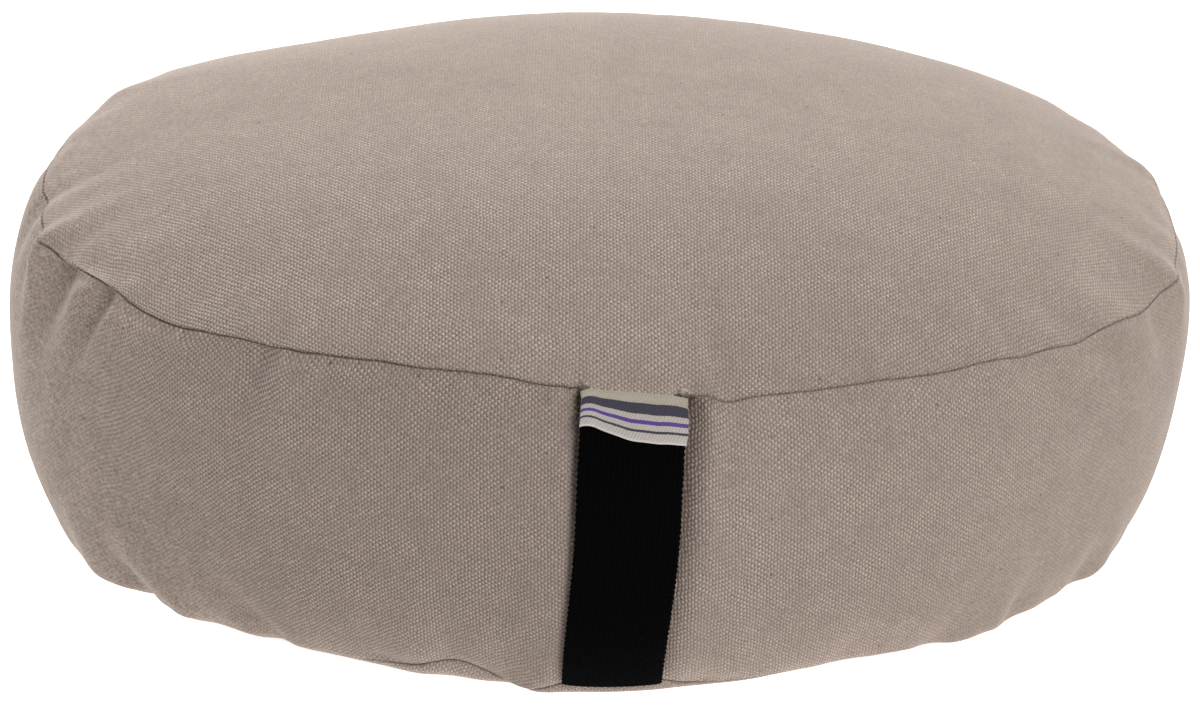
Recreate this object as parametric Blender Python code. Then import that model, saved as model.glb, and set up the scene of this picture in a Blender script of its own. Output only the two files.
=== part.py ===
"""Zafu meditation cushion.

An oval canvas cushion filled firm: a domed top panel, a side band and a bottom panel joined by
two plain seams, a webbing handle sewn seam to seam down the front of the band, and a folded
label caught in the top seam over it. Metres, +Z up, the handle at the front (-Y).
"""

import math

import bmesh
import bpy
from mathutils import Vector

MM = 0.001

# The sewn oval, seen in plan.
HALF_LENGTH = 221.8 * MM
HALF_DEPTH = 153.5 * MM
PLAN_POWER = 2.02

# Top panel: height of the crown, and how late it turns down to the seam.
CROWN_HEIGHT = 173.5 * MM
CROWN_POWER = 3.05

# Band: how flat its swelling is between the seams. Bottom panel: how far it rolls under.
BELLY_POWER = 2.66
UNDER_REACH = 27.5 * MM

# The pinch along each seam.
TOP_PINCH_DEPTH = 1.7 * MM
BASE_PINCH_DEPTH = 1.3 * MM
PINCH_SPREAD = 2.2 * MM

# How far a sag of the seam reaches into the top panel.
WAVE_FADE = 28.0 * MM

# Small gathers that the sewing leaves along both seams, fading into the panels.
GATHER_DEPTH = 0.45 * MM
GATHER_FADE = 16.0 * MM
GATHER_COUNTS = (29, 43)

# Handle webbing and folded label.
GAP = 0.32 * MM
STRAP_WIDTH = 38.1 * MM
STRAP_THICKNESS = 1.6 * MM
STRAP_EDGE_THICKNESS = 1.1 * MM
STRAP_TOP_CENTRE = 13.0 * MM
STRAP_LEAN = 7.6 * MM
STRAP_END_INSET = 1.3 * MM
LABEL_WIDTH = 38.6 * MM
LABEL_LENGTH = 16.4 * MM
LABEL_THICKNESS = 1.0 * MM
LABEL_SKEW = 0.9 * MM
LABEL_CURL = 3.6 * MM

# Mesh steps.
TURNS = 144
CROWN_SHARES = (0.13, 0.26, 0.39, 0.51, 0.62, 0.72, 0.81, 0.88, 0.94)
SEAM_STEPS = (8.0 * MM, 4.6 * MM, 2.3 * MM, 0.9 * MM)
BAND_STEPS = 11
UNDER_ANGLES = (14, 30, 48, 68, 90)
STRAP_STEPS = (8, 30)
LABEL_STEPS = (12, 7)

# One row every 22.5 degrees round the cushion, from the right end by way of the back.
# The reaches are seam radius over the plain oval's, the heights and the belly are in mm.
STATION_COLUMNS = ("top_reach", "top_height", "belly", "base_reach", "base_height")
STATIONS = (
    (1.026, 116.3, 9.7, 0.981, 6.2),
    (1.020, 127.0, 11.6, 0.985, 8.2),
    (1.009, 128.8, 12.7, 0.991, 9.0),
    (1.002, 130.8, 13.5, 0.996, 9.2),
    (1.002, 132.4, 14.3, 0.999, 9.1),
    (1.002, 132.1, 15.2, 0.999, 9.1),
    (1.001, 132.0, 15.9, 0.997, 9.4),
    (0.992, 141.7, 16.0, 0.996, 10.3),
    (0.980, 135.5, 13.9, 0.993, 10.7),
    (0.988, 136.7, 9.8, 1.013, 11.0),
    (1.005, 138.1, 9.8, 0.998, 13.0),
    (1.002, 140.0, 10.1, 1.005, 12.5),
    (1.001, 134.1, 10.1, 1.020, 7.8),
    (0.998, 127.9, 9.4, 1.004, 9.5),
    (1.001, 126.9, 8.3, 0.999, 7.8),
    (1.014, 118.9, 7.4, 0.992, 5.0),
)

# Where the top seam rides up or sags between the stations.
# Columns: turn in degrees; rise and half width in mm.
SEAM_WAVES = (
    (204.0, 2.0, 11.0),
    (215.5, -1.4, 15.0),
    (275.0, 0.8, 12.0),
    (286.5, -1.8, 9.0),
    (312.0, 0.7, 16.0),
    (331.5, -1.3, 9.0),
    (337.0, 1.9, 9.0),
    (14.0, 1.2, 14.0),
    (52.0, -1.1, 15.0),
    (97.0, 1.0, 18.0),
    (141.0, -1.2, 14.0),
)

# Folds in the band where the filling pulls it at a seam. A minus depth is a ridge.
# Columns: seam, 0 the top one and 1 the bottom one; turn in degrees at the seam; slant, how far
# the fold's far end lies to the left seen from outside; depth, half width and length in mm.
FOLDS = (
    (0, 198.6, 10.0, 4.0, 13.0, 34.0),
    (0, 202.4, 14.0, -2.0, 6.5, 32.0),
    (0, 206.2, 17.0, 4.0, 7.0, 36.0),
    (0, 209.8, 18.0, -2.2, 8.0, 36.0),
    (0, 226.6, 16.0, 3.2, 12.0, 50.0),
    (0, 230.8, 18.0, -1.8, 11.0, 46.0),
    (0, 266.2, 1.0, 1.8, 6.0, 44.0),
    (0, 284.6, 3.0, 3.2, 7.0, 38.0),
    (0, 327.0, -6.0, 2.0, 11.0, 30.0),
    (0, 340.5, -14.0, 3.0, 11.0, 36.0),
    (0, 347.5, -4.0, -2.2, 12.0, 28.0),
    (0, 20.0, 7.0, 2.8, 11.0, 34.0),
    (0, 61.0, -8.0, 2.4, 12.0, 38.0),
    (0, 104.0, 9.0, 2.0, 12.0, 40.0),
    (0, 149.0, -9.0, 3.0, 11.0, 36.0),
    (0, 168.0, 8.0, 2.4, 10.0, 30.0),
    (1, 203.5, 6.0, -2.4, 13.0, 26.0),
    (1, 209.6, 17.0, 3.0, 7.0, 26.0),
    (1, 215.4, 12.0, -2.4, 8.0, 20.0),
    (1, 226.6, 20.0, 3.0, 8.0, 30.0),
    (1, 246.0, 6.0, -1.8, 13.0, 22.0),
    (1, 257.5, 2.0, 2.0, 9.0, 22.0),
    (1, 289.0, -5.0, 1.6, 12.0, 22.0),
    (1, 314.8, -10.0, 2.6, 7.0, 24.0),
    (1, 319.4, -6.0, -1.8, 8.0, 20.0),
    (1, 324.0, -11.0, 2.6, 7.0, 24.0),
    (1, 335.0, -9.0, 2.2, 9.0, 22.0),
    (1, 8.0, 8.0, 2.2, 10.0, 24.0),
    (1, 47.0, -9.0, 2.4, 10.0, 26.0),
    (1, 86.0, 6.0, 1.8, 12.0, 24.0),
    (1, 128.0, -8.0, 2.4, 10.0, 26.0),
    (1, 171.0, 9.0, 2.3, 9.0, 24.0),
    (1, 192.5, 12.0, 2.4, 9.0, 24.0),
)

# The band is drawn in under the handle's sewn end: turn, half width and length in mm, depth.
TUCK_TURN = 274.8
TUCK_WIDTH = 22.0 * MM
TUCK_LENGTH = 7.0 * MM
TUCK_DEPTH = 1.9 * MM

# Linear base colours.
CANVAS_COLOUR = (0.372, 0.305, 0.266, 1.0)
WEBBING_COLOUR = (0.006, 0.006, 0.007, 1.0)
LABEL_COLOUR = (0.62, 0.58, 0.49, 1.0)


def station_value(column, turn):
    """Smoothly follow one column of the stations; turn is in radians."""
    place = STATION_COLUMNS.index(column)
    count = len(STATIONS)
    along = (turn / math.tau % 1.0) * count
    start = int(math.floor(along))
    part = along - start
    before, low, high, after = (STATIONS[(start + step) % count][place] for step in (-1, 0, 1, 2))
    slope_low = (high - before) / 2
    slope_high = (after - low) / 2
    square = part * part
    cube = square * part
    return ((2 * cube - 3 * square + 1) * low + (cube - 2 * square + part) * slope_low
            + (3 * square - 2 * cube) * high + (cube - square) * slope_high)


def plan_radius(turn):
    """Distance from the middle to the plain oval."""
    sum_powers = ((abs(math.cos(turn)) / HALF_LENGTH) ** PLAN_POWER
                  + (abs(math.sin(turn)) / HALF_DEPTH) ** PLAN_POWER)
    return sum_powers ** (-1 / PLAN_POWER)


def plan_normal(turn):
    """Outward direction of the plain oval."""
    radius = plan_radius(turn)
    across = radius * math.cos(turn) / HALF_LENGTH
    back = radius * math.sin(turn) / HALF_DEPTH
    normal_x = math.copysign(abs(across) ** (PLAN_POWER - 1), across) / HALF_LENGTH
    normal_y = math.copysign(abs(back) ** (PLAN_POWER - 1), back) / HALF_DEPTH
    return Vector((normal_x, normal_y, 0)).normalized()


def arc_gap(turn, centre_degrees):
    """Metres along the seam from a place given in degrees to this turn."""
    difference = (turn - math.radians(centre_degrees) + math.pi) % math.tau - math.pi
    return difference * plan_radius(turn)


def bump(distance, width):
    """A soft hump one high."""
    return math.exp(-(distance / width) ** 2)


def seam_wave(turn):
    """How far the top seam rides up or sags at a place."""
    return sum(rise * MM * bump(arc_gap(turn, centre), width * MM)
               for centre, rise, width in SEAM_WAVES)


def seam_point(turn, seam):
    """A point on the top (0) or bottom (1) seam line before pinching."""
    reach = plan_radius(turn) * station_value(("top_reach", "base_reach")[seam], turn)
    height = station_value(("top_height", "base_height")[seam], turn) * MM
    if seam == 0:
        height += seam_wave(turn)
    return Vector((reach * math.cos(turn), reach * math.sin(turn), height))


def gathers(turn, distance):
    """Shallow uneven ripples beside a seam."""
    ripple = (math.sin(GATHER_COUNTS[0] * turn + 2.0 * math.sin(3 * turn))
              + 0.7 * math.sin(GATHER_COUNTS[1] * turn + 1.3 + 1.5 * math.sin(2 * turn)))
    return GATHER_DEPTH * ripple * math.exp(-distance / GATHER_FADE)


def fold_depth(turn, from_top, from_base):
    """How far the folds draw the band in at a place on it."""
    total = 0.0
    for seam, centre, slant, depth, width, length in FOLDS:
        share = (from_base if seam else from_top) / (length * MM)
        if share < 2.0:
            across = arc_gap(turn, centre) + slant * MM * share
            spread = width * MM * (0.8 + 0.5 * share)
            total += depth * MM * bump(across, spread) * bump(share, 0.75)
    tuck_across = abs(arc_gap(turn, TUCK_TURN)) / TUCK_WIDTH
    total += TUCK_DEPTH * math.exp(-tuck_across ** 6) * bump(from_top, TUCK_LENGTH)
    return total


def crown_point(turn, edge_distance, share):
    """A point on the top panel: share runs from the middle to edge_distance short of the seam."""
    rim = seam_point(turn, 0)
    reach = math.hypot(rim.x, rim.y)
    outward = share * (1 - edge_distance / reach)
    from_seam = (1 - outward) * reach
    wave = seam_wave(turn)
    even_height = rim.z - wave
    rise = (CROWN_HEIGHT - even_height) * (1 - outward ** CROWN_POWER)
    ripple = 0.6 * gathers(turn, from_seam) * (1 - bump(from_seam, 3 * MM))
    pinch = TOP_PINCH_DEPTH * bump(from_seam, PINCH_SPREAD)
    inward = -plan_normal(turn)
    flat = Vector((rim.x, rim.y, 0)) * outward + inward * 0.6 * pinch
    height = even_height + rise + wave * bump(from_seam, WAVE_FADE) + ripple - 0.75 * pinch
    return flat + Vector((0, 0, height))


def band_point(turn, share):
    """A point on the band: share runs from the top seam (0) to the bottom one (1)."""
    top = seam_point(turn, 0)
    base = seam_point(turn, 1)
    height = (top - base).length
    from_top = share * height
    from_base = (1 - share) * height
    belly = station_value("belly", turn) * MM * (1 - abs(2 * share - 1) ** BELLY_POWER)
    fade = 1 - bump(from_top, 3 * MM)
    ripple = gathers(turn, from_top) * fade + gathers(turn + 0.7, from_base)
    top_pinch = TOP_PINCH_DEPTH * bump(from_top, PINCH_SPREAD)
    base_pinch = BASE_PINCH_DEPTH * bump(from_base, PINCH_SPREAD)
    out = belly + ripple - fold_depth(turn, from_top, from_base) - 0.6 * top_pinch - base_pinch
    point = top.lerp(base, share) + plan_normal(turn) * out
    point.z -= 0.75 * top_pinch
    return point


def under_point(turn, angle):
    """A point where the bottom panel rolls under, from the seam (0) to the flat (90 degrees)."""
    rim = band_point(turn, 1.0)
    swing = math.radians(angle)
    inward = -plan_normal(turn) * UNDER_REACH * (1 - math.cos(swing))
    return Vector((rim.x, rim.y, 0)) + inward + Vector((0, 0, rim.z * (1 - math.sin(swing))))


def band_normal(turn, share):
    """Outward direction of the band's surface."""
    small_turn = 0.004
    low = max(share - 0.01, 0.0)
    high = min(share + 0.01, 1.0)
    along = band_point(turn + small_turn, share) - band_point(turn - small_turn, share)
    down = band_point(turn, high) - band_point(turn, low)
    return down.cross(along).normalized()


def front_turn(across):
    """The turn at which the front of the oval lies at this distance to the right."""
    part = 1 - (abs(across) / HALF_LENGTH) ** PLAN_POWER
    return math.atan2(-HALF_DEPTH * part ** (1 / PLAN_POWER), across)


def new_object(name, mesh, colour, roughness):
    """Make one smooth-shaded object from a finished bmesh, with its own material."""
    bmesh.ops.recalc_face_normals(mesh, faces=mesh.faces)
    data = bpy.data.meshes.new(name)
    mesh.to_mesh(data)
    mesh.free()
    for face in data.polygons:
        face.use_smooth = True
    material = bpy.data.materials.new(name)
    material.use_nodes = True
    shader = material.node_tree.nodes["Principled BSDF"]
    shader.inputs["Base Color"].default_value = colour
    shader.inputs["Roughness"].default_value = roughness
    shader.inputs["Metallic"].default_value = 0.0
    data.materials.append(material)
    thing = bpy.data.objects.new(name, data)
    bpy.context.scene.collection.objects.link(thing)
    return thing


def cushion_rings():
    """The rings of the filled body from the crown down to its flat base."""
    turns = [math.tau * step / TURNS for step in range(TURNS)]
    rings = [[crown_point(turn, SEAM_STEPS[0], share) for turn in turns]
             for share in CROWN_SHARES]
    rings += [[crown_point(turn, step, 1.0) for turn in turns] for step in SEAM_STEPS]
    rings.append([band_point(turn, 0.0) for turn in turns])

    heights = [(seam_point(turn, 0) - seam_point(turn, 1)).length for turn in turns]
    for step in reversed(SEAM_STEPS):
        rings.append([band_point(turn, step / high) for turn, high in zip(turns, heights)])
    for count in range(1, BAND_STEPS):
        part = count / BAND_STEPS
        rings.append([band_point(turn, (SEAM_STEPS[0] + (high - 2 * SEAM_STEPS[0]) * part) / high)
                      for turn, high in zip(turns, heights)])
    for step in SEAM_STEPS:
        rings.append([band_point(turn, 1 - step / high) for turn, high in zip(turns, heights)])
    rings.append([band_point(turn, 1.0) for turn in turns])
    rings += [[under_point(turn, angle) for turn in turns] for angle in UNDER_ANGLES]
    return rings


def build_cushion():
    """The filled body: top panel, band and bottom panel as one closed skin."""
    mesh = bmesh.new()
    crown = mesh.verts.new((0, 0, CROWN_HEIGHT))
    rings = [[mesh.verts.new(point) for point in ring] for ring in cushion_rings()]
    base = mesh.verts.new((0, 0, 0))
    for step in range(TURNS):
        after = (step + 1) % TURNS
        mesh.faces.new((crown, rings[0][step], rings[0][after]))
        for upper, lower in zip(rings, rings[1:]):
            mesh.faces.new((upper[step], lower[step], lower[after], upper[after]))
        mesh.faces.new((base, rings[-1][after], rings[-1][step]))
    return new_object("cushion", mesh, CANVAS_COLOUR, 0.9)


def sheet_solid(inner, outer):
    """Close two grids of points, one over the other, into one solid."""
    mesh = bmesh.new()
    layers = [[[mesh.verts.new(point) for point in row] for row in grid] for grid in (inner, outer)]
    rows = len(inner)
    columns = len(inner[0])
    for layer in layers:
        for i in range(rows - 1):
            for j in range(columns - 1):
                mesh.faces.new((layer[i][j], layer[i][j + 1], layer[i + 1][j + 1], layer[i + 1][j]))
    rim = [(0, j) for j in range(columns)]
    rim += [(i, columns - 1) for i in range(1, rows)]
    rim += [(rows - 1, j) for j in range(columns - 2, -1, -1)]
    rim += [(i, 0) for i in range(rows - 2, 0, -1)]
    for (i, j), (k, m) in zip(rim, rim[1:] + rim[:1]):
        mesh.faces.new((layers[0][i][j], layers[0][k][m], layers[1][k][m], layers[1][i][j]))
    return mesh


def strap_place(across, share):
    """The turn of a point on the handle, across measured from its own centre line."""
    return front_turn(STRAP_TOP_CENTRE - STRAP_LEAN * share + across)


def build_strap():
    """The webbing handle, lying along the band from seam to seam."""
    wide, long = STRAP_STEPS
    inner = []
    outer = []
    for i in range(long + 1):
        inner_row = []
        outer_row = []
        for j in range(wide + 1):
            across = (j / wide - 0.5) * STRAP_WIDTH
            turn = strap_place(across, i / long)
            height = (seam_point(turn, 0) - seam_point(turn, 1)).length
            inset = STRAP_END_INSET / height
            share = inset + (1 - 2 * inset) * i / long
            point = band_point(turn, share)
            normal = band_normal(turn, share)
            thick = STRAP_EDGE_THICKNESS if j in (0, wide) else STRAP_THICKNESS
            inner_row.append(point + normal * GAP)
            outer_row.append(point + normal * (GAP + thick))
        inner.append(inner_row)
        outer.append(outer_row)
    return new_object("handle_strap", sheet_solid(inner, outer), WEBBING_COLOUR, 0.75)


def label_lift(side, down):
    """How far the label's lower left corner curls off the handle; side runs 0 to 1 to the right."""
    near_left = max(0.0, 1 - side / 0.45)
    return LABEL_CURL * near_left ** 2 * down ** 2


def build_label():
    """The folded label, its upper edge in the top seam over the handle."""
    wide, long = LABEL_STEPS
    inner = []
    outer = []
    for i in range(long + 1):
        inner_row = []
        outer_row = []
        for j in range(wide + 1):
            side = j / wide
            down = i / long
            length = LABEL_LENGTH - LABEL_SKEW * (1 - side)
            across = (side - 0.5) * LABEL_WIDTH
            turn = strap_place(across + 0.4 * MM, 0.06)
            height = (seam_point(turn, 0) - seam_point(turn, 1)).length
            share = (STRAP_END_INSET + length * down) / height
            point = band_point(turn, share)
            normal = band_normal(turn, share)
            stand = 2 * GAP + STRAP_THICKNESS + label_lift(side, down)
            thick = LABEL_THICKNESS * (0.7 if i == long or j in (0, wide) else 1.0)
            inner_row.append(point + normal * stand)
            outer_row.append(point + normal * (stand + thick))
        inner.append(inner_row)
        outer.append(outer_row)
    return new_object("label", sheet_solid(inner, outer), LABEL_COLOUR, 0.6)


def centre_in_plan(things):
    """Put the middle of the whole part's plan box over the origin."""
    corners = [vertex.co for thing in things for vertex in thing.data.vertices]
    middle_x = (min(point.x for point in corners) + max(point.x for point in corners)) / 2
    middle_y = (min(point.y for point in corners) + max(point.y for point in corners)) / 2
    for thing in things:
        for vertex in thing.data.vertices:
            vertex.co.x -= middle_x
            vertex.co.y -= middle_y


for leftover in list(bpy.data.objects):
    bpy.data.objects.remove(leftover, do_unlink=True)
centre_in_plan([build_cushion(), build_strap(), build_label()])
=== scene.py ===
import math
from functools import partialmethod

import bmesh
import bpy
import numpy as np
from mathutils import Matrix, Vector


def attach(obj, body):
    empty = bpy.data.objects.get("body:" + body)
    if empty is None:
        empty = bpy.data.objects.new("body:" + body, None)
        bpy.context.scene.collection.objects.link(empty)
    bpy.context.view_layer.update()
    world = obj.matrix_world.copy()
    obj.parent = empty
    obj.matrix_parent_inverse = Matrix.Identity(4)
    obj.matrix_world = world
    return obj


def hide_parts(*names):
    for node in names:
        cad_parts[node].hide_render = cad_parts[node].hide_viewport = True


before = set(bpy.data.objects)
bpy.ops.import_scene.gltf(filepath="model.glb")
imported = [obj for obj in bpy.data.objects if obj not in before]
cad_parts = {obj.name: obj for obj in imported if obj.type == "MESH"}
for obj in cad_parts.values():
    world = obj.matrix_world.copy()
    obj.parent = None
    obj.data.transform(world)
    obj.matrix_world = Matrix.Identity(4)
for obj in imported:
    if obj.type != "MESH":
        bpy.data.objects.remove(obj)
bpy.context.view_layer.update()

MM = 0.001
TAU = math.tau

# ---- Sizes of the sewn cushion, the same as its solids have ----
HALF_LENGTH = 221.8 * MM
HALF_DEPTH = 153.5 * MM
PLAN_POWER = 2.02
CROWN_HEIGHT = 173.5 * MM
CROWN_POWER = 3.05
BELLY_POWER = 2.66
UNDER_REACH = 27.5 * MM
UNDER_DROP = 9.5 * MM
WAVE_FADE = 28.0 * MM
PLAN_SHIFT = (-0.34 * MM, -0.32 * MM, 0.0)

# The crease of a seam: a broad draw-in and a narrow cleft in its middle.
TOP_DRAW = (1.1 * MM, 4.0 * MM)
TOP_CLEFT = (1.6 * MM, 0.5 * MM)
BASE_DRAW = (0.7 * MM, 4.5 * MM)
BASE_CLEFT = (1.1 * MM, 0.8 * MM)

# Evenly round the cushion from its right end; heights and the belly in mm.
STATION_COLUMNS = ("top_reach", "top_height", "belly", "base_reach", "base_height")
STATIONS = (
    (1.026, 116.3, 9.7, 0.981, 6.2),
    (1.020, 127, 11.6, 0.985, 8.2),
    (1.009, 128.8, 12.7, 0.991, 9),
    (1.002, 130.8, 13.5, 0.996, 9.2),
    (1.002, 132.4, 14.3, 0.999, 9.1),
    (1.002, 132.1, 15.2, 0.999, 9.1),
    (1.001, 132, 15.9, 0.997, 9.4),
    (0.992, 141.7, 16, 0.996, 10.3),
    (0.980, 135.5, 13.9, 0.993, 10.7),
    (0.988, 136.7, 9.8, 1.013, 11),
    (1.005, 138.1, 9.8, 0.998, 13),
    (1.002, 140, 10.1, 1.005, 12.5),
    (1.001, 134.1, 10.1, 1.020, 7.8),
    (0.998, 127.9, 9.4, 1.004, 9.5),
    (1.001, 126.9, 8.3, 0.999, 7.8),
    (1.014, 118.9, 7.4, 0.992, 5),
)

# Columns: turn in degrees; rise and half width in mm.
SEAM_WAVES = (
    (204, 2, 11),
    (215.5, -1.4, 15),
    (275, 0.8, 12),
    (286.5, -1.8, 9),
    (312, 0.7, 16),
    (331.5, -1.3, 9),
    (337, 1.9, 9),
    (14, 1.2, 14),
    (52, -1.1, 15),
    (97, 1, 18),
    (141, -1.2, 14),
)

# Smaller unevenness of the stitched line, in the same columns, and its even lift in front.
SEAM_NICKS = (
    (195.8, -3.5, 9.3),
    (197, 2, 16),
    (207.2, 1.6, 5.3),
    (213.1, -0.7, 14.6),
    (225.8, 0.9, 16),
    (247.3, -1, 10.6),
    (262.6, -1.2, 6.2),
    (267.4, -1.7, 3.2),
    (269.8, -0.5, 3.8),
    (274.1, -1.9, 13.7),
    (283.3, -1.8, 16),
    (284.5, 2.7, 4.5),
    (313.1, -2.3, 16),
    (324.6, -1.1, 7.5),
    (336.9, -1.1, 6.7),
    (343.4, -2.6, 16),
)
FRONT_LIFT = 1.25 * MM
NICK_FADE = 13.0 * MM
SHIVER = 0.09 * MM

# Where the top seam strays outward from its even course: turn, outward, half width.
SEAM_STRAYS = (
    (161, 2.3, 8),
    (169, 1, 8),
    (176, 1.2, 12),
    (183.6, -2.9, 7.5),
    (192, 4.6, 6.5),
    (349.8, 3.6, 7.5),
    (6, 1.2, 9),
    (9.8, 3.4, 7),
)
STRAY_FADE = (30.0 * MM, 18.0 * MM)

# The bottom seam rolls under the band, except in front, where it wanders: turn, drop, half width.
SEAM_HIDDEN = 6.5 * MM
SEAM_SHOWN = (265.0, 78.0 * MM)
BASE_NICKS = (
    (251.4, -4, 9),
    (259, 6, 6.5),
    (286, 1.6, 8),
)
# Under the handle it lies at one height: turn and half width; drop.
HANDLE_END = (272.2, 20.5 * MM)
HANDLE_DROP = -3.6 * MM

# Small swellings between the folds at the foot of the band: turn, outward, half width.
FOOT_SWELLS = (
    (226, 1.8, 16),
    (249, -1.8, 11),
    (261, 3.6, 11),
    (289, 3.2, 12),
    (304, -2, 14),
    (316.2, 2.6, 8),
    (323, 3.4, 8),
    (331, -0.9, 8),
    (339, 1.8, 11),
)
FOOT_FADE = 15.0 * MM
ROLL_BULGE = (1.1 * MM, 7.0 * MM)

# Folds that start at the top seam and at the bottom one.
# Columns: turn in degrees; slant, depth, half width and length in mm.
TOP_FOLDS = (
    (198, 6, 7.6, 8.4, 32),
    (203.4, 12, -3.6, 5.4, 26),
    (206.6, 15, 5.6, 3.4, 36),
    (209.2, 13, -4.2, 4.6, 34),
    (212.8, 8, -4.4, 8, 22),
    (217.8, 8, -4, 12, 24),
    (228.2, 14, 3.8, 6.5, 44),
    (232.4, 10, -5, 8, 28),
    (239.5, 4, -3.2, 17, 22),
    (284.6, 3, 1.8, 7, 38),
    (327, -6, 2, 11, 30),
    (333, -36, 3.2, 8, 36),
    (345, -6, 3, 11, 34),
    (20, 7, 2.8, 11, 34),
    (61, -8, 2.4, 12, 38),
    (104, 9, 2, 12, 40),
    (149, -9, 3, 11, 36),
    (168, 8, 2.4, 10, 30),
)
FOOT_FOLDS = (
    (203.5, 6, -2.4, 13, 26),
    (209.6, 17, 3, 7, 26),
    (215.4, 12, -2.4, 8, 20),
    (226.6, 20, 3, 8, 30),
    (246, 6, -1.8, 13, 22),
    (257.5, 2, 2, 9, 22),
    (289, -5, 1.6, 12, 22),
    (314.8, -10, 2, 8, 22),
    (319.4, -6, -1.8, 8, 20),
    (324, -11, 2, 8, 22),
    (335, -9, 1.8, 10, 22),
    (8, 8, 2.2, 10, 24),
    (47, -9, 2.4, 10, 26),
    (86, 6, 1.8, 12, 24),
    (128, -8, 2.4, 10, 26),
    (171, 9, 2.3, 9, 24),
    (192.5, 12, 2.4, 9, 24),
)

# The seam gives way by a share of each fold, which is at full depth a little way off.
SEAM_YIELD = 0.18
# Where the top panel sinks toward its seam, or swells behind it: turn, rise, half width, distance in.
CROWN_SWELLS = (
    (203.5, -3.4, 15, 7),
    (228, 0.7, 18, 16),
    (250, 0.6, 50, 16),
)
SWELL_REACH = 8.0 * MM
SWELL_START = 3.0 * MM
DENT_FADE = 7.0 * MM
PULL_SINK = 0.35
FOLD_START = 4.0 * MM
# A fold widens with its share of length, and has died out past its end.
FOLD_SPREAD = (0.8, 0.5)
FOLD_END = 2.2
FOLD_TAPER = 0.75

TUCK_TURN = 274.8
TUCK_WIDTH = 20.0 * MM
TUCK_LENGTH = 7.0 * MM
TUCK_DEPTH = 1.9 * MM

# Hollows in the band along both edges of the handle: side, depth at the top, depth below, width.
HANDLE_HOLLOWS = (
    (-1, 5.0 * MM, 1.6 * MM, 5.6 * MM),
    (1, 10.0 * MM, 3.2 * MM, 12.0 * MM),
)
HOLLOW_EDGE = 18.2 * MM
HOLLOW_FADE = 60.0 * MM
HOLLOW_UNDER = 4.0 * MM
HOLLOW_ENDS = (2.2 * MM, 7.0 * MM)
# Over the label the crown hangs past the seam in a small lip.
SEWN_IN = 19.7 * MM
LIP = 0.7 * MM
LIP_PLACE = (0.8 * MM, 1.7 * MM)
LIP_SINK = 0.5

GAP = 0.32 * MM
STRAP_WIDTH = 38.1 * MM
STRAP_SPREAD = 0.955
STRAP_THICKNESS = 1.6 * MM
STRAP_TOP_CENTRE = 13.0 * MM
STRAP_LEAN = 7.6 * MM
STRAP_SWAY = 0.5 * MM
STRAP_END_INSET = 0.35 * MM
STRAP_TAPER = 2.5 * MM
STRAP_RUN = 128.0 * MM
NOTCH_STEP = 2.5 * MM
NOTCH_WIDTH = 0.22 * MM
NOTCH_HEIGHT = 0.10 * MM
LABEL_WIDTH = 38.6 * MM
LABEL_LENGTH = 14.9 * MM
LABEL_SHORT_SIDE = 4.6 * MM
LABEL_LAYER = 0.42 * MM
LABEL_LEAN = 2.1 * MM
LABEL_CURL = 3.0 * MM

# Thread spacing of the canvas, along and across the pieces.
WEFT_STEP = 1.21 * MM
WARP_STEP = 0.96 * MM
# Where the band and the underside start on the flat cloth; the top panel lies round nought.
BAND_SPOT = 3.0
UNDER_SPOT = 6.0


# ---- The cushion's surface, worked out for whole rings at once ----
def station(column, turn):
    values = np.array([row[STATION_COLUMNS.index(column)] for row in STATIONS])
    count = len(values)
    along = (np.asarray(turn) / TAU % 1.0) * count
    start = np.floor(along).astype(int)
    part = along - start
    before, low, high, after = (values[(start + step) % count] for step in (-1, 0, 1, 2))
    square = part * part
    cube = square * part
    return ((2 * cube - 3 * square + 1) * low + (cube - 2 * square + part) * (high - before) / 2
            + (3 * square - 2 * cube) * high + (cube - square) * (after - low) / 2)


def plan_radius(turn):
    total = ((np.abs(np.cos(turn)) / HALF_LENGTH) ** PLAN_POWER
             + (np.abs(np.sin(turn)) / HALF_DEPTH) ** PLAN_POWER)
    return total ** (-1 / PLAN_POWER)


def plan_normal(turn):
    normal = [np.sign(part) * np.abs(part / half) ** (PLAN_POWER - 1) / half
              for part, half in ((np.cos(turn), HALF_LENGTH), (np.sin(turn), HALF_DEPTH))]
    return np.array(normal) / np.hypot(*normal)


def arc_gap(turn, centre):
    difference = (turn - math.radians(centre) + math.pi) % TAU - math.pi
    return difference * plan_radius(turn)


def hump(distance, width):
    return np.exp(-(distance / width) ** 2)


def humps(turn, rows):
    """Sum of soft humps round the cushion; rows hold turn in degrees, size and half width in mm."""
    return sum(size * MM * hump(arc_gap(turn, centre), width * MM) for centre, size, width in rows)


def stretch(turn, centre, width, power):
    """One along a stretch of the cushion's edge, nought elsewhere; a higher power ends it sharper."""
    return np.exp(-(np.abs(arc_gap(turn, centre)) / width) ** power)


def seam_nick(turn):
    """Small bites and rises of the stitched top seam."""
    shiver = (np.sin(61 * turn + 2 * np.sin(5 * turn))
              + 0.8 * np.sin(103 * turn + 1.7 + 1.6 * np.sin(4 * turn)))
    return humps(turn, SEAM_NICKS) + SHIVER * shiver + FRONT_LIFT * np.sqrt(np.clip(-np.sin(turn), 0, 1))


def sewn_in(turn):
    """One along the stretch of seam that holds the handle and label, nought elsewhere."""
    return stretch(turn, TUCK_TURN, SEWN_IN, 16)


def seam_line(turn, seam):
    reach = plan_radius(turn) * station(("top_reach", "base_reach")[seam], turn)
    height = station(("top_height", "base_height")[seam], turn) * MM
    if seam == 0:
        height = height + humps(turn, SEAM_WAVES) + seam_nick(turn)
    return np.stack([reach * np.cos(turn), reach * np.sin(turn), height], axis=-1)


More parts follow.
